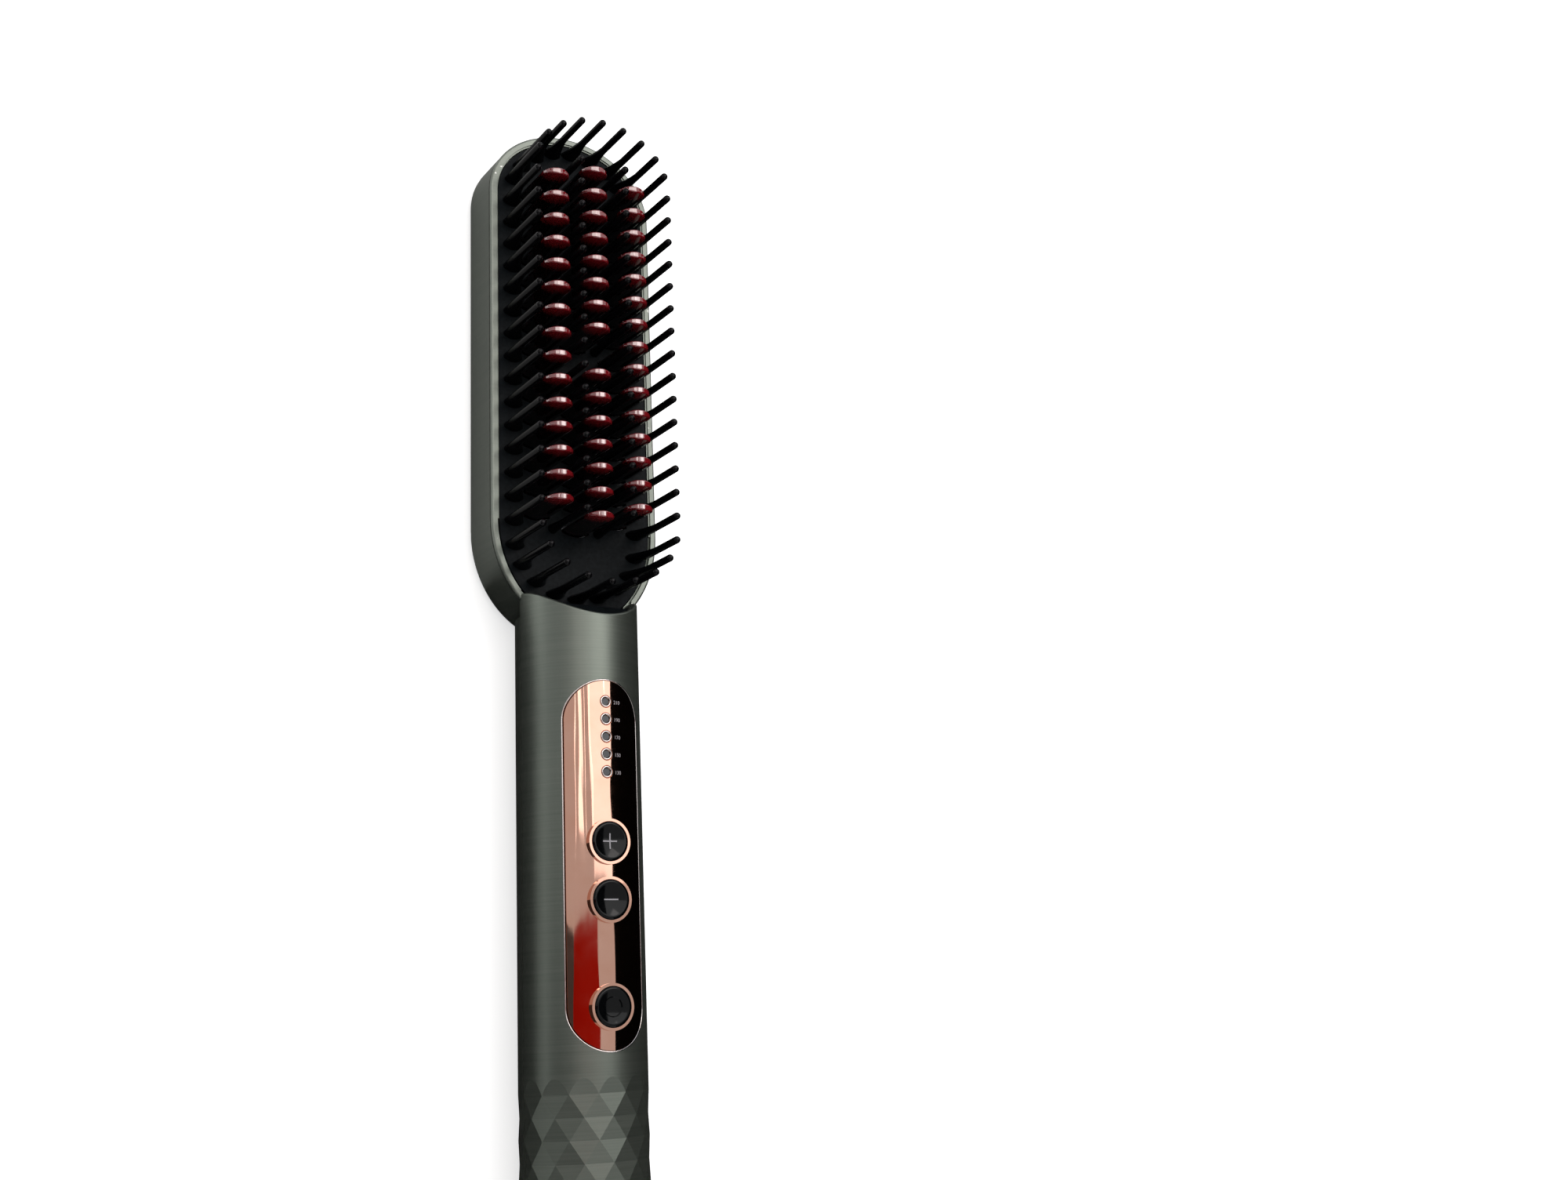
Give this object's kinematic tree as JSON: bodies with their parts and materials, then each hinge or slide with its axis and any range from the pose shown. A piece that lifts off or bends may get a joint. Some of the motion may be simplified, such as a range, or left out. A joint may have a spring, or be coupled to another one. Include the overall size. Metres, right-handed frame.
{
  "type": "heated styling brush",
  "caption": "Heated hair styling brush: oval head with bristles and flat heating teeth, round handle with a plated button panel, and a swivelling cord gland.",
  "frame": {"origin": "centre of the box around the brush, at the level of its back", "axes": "+X across the brush, +Y along it towards the tip of the head, +Z out of the bristles"},
  "size_m": [0.0428, 0.281, 0.0339],
  "materials": {
    "grey_paint": "satin metallic paint on moulded plastic",
    "rose_gold_plate": "polished rose gold plating",
    "gloss_black": "glossy black moulding",
    "black_nylon": "smooth nylon",
    "maroon_ceramic": "glossy ceramic coating on aluminium",
    "bare_aluminium": "milled",
    "spring_steel": "rolled sheet and turned screws",
    "alumina": "sintered",
    "mica": "pressed sheet",
    "epoxy_bead": "dipped epoxy",
    "fuse_can": "drawn can",
    "silicone_wire": "silicone insulation",
    "clear_plastic": "clear moulding",
    "board_laminate": "solder mask on glass laminate",
    "black_epoxy": "moulded package",
    "capacitor_box": "moulded box",
    "led_package": "moulded package",
    "acetal": "turned acetal",
    "contact_brass": "turned and pressed"
  },
  "bodies": {
    "casing": {"rear_housing": "grey_paint", "head_frame": "grey_paint", "front_housing": "grey_paint", "housing_screws": "spring_steel", "heating_teeth": "maroon_ceramic", "outer_bristles": "black_nylon", "inner_bristles": "black_nylon", "comb_base": "gloss_black", "heater_plate": "bare_aluminium", "ceramic_heater": "alumina", "heater_clamp": "spring_steel", "heater_screws": "spring_steel", "mica_shield": "mica", "thermistor": "epoxy_bead", "thermal_fuse": "fuse_can", "control_panel": "rose_gold_plate", "light_guide": "clear_plastic", "tact_switches": "black_epoxy", "circuit_board": "board_laminate", "board_screws": "spring_steel", "indicator_leds": "led_package", "controller_chip": "black_epoxy", "triac": "black_epoxy", "suppression_capacitor": "capacitor_box", "swivel_bush": "acetal", "contact_pads": "contact_brass", "contact_holder": "black_nylon", "heater_leads": "silicone_wire", "sensor_leads": "silicone_wire", "mains_leads": "silicone_wire"},
    "plus_key": {"plus_button": "gloss_black", "plus_plunger": "acetal"},
    "minus_key": {"minus_button": "gloss_black", "minus_plunger": "acetal"},
    "power_key": {"power_button": "gloss_black", "power_plunger": "acetal"},
    "cord_gland": {"swivel_gland": "black_nylon", "slip_rings": "contact_brass"}
  },
  "joints": [
    {"name": "plus_press", "type": "slide", "parent": "casing", "child": "plus_key", "axis": [0, 0, -1], "range_m": [0, 0.0005], "stiffness_N_per_m": 3200},
    {"name": "minus_press", "type": "slide", "parent": "casing", "child": "minus_key", "axis": [0, 0, -1], "range_m": [0, 0.0005], "stiffness_N_per_m": 3200},
    {"name": "power_press", "type": "slide", "parent": "casing", "child": "power_key", "axis": [0, 0, -1], "range_m": [0, 0.0005], "stiffness_N_per_m": 3200},
    {"name": "cord_swivel", "type": "hinge", "parent": "casing", "child": "cord_gland", "pos_m": [0, -0.1315, 0.0142], "axis": [0, 1, 0], "continuous": true}
  ]
}
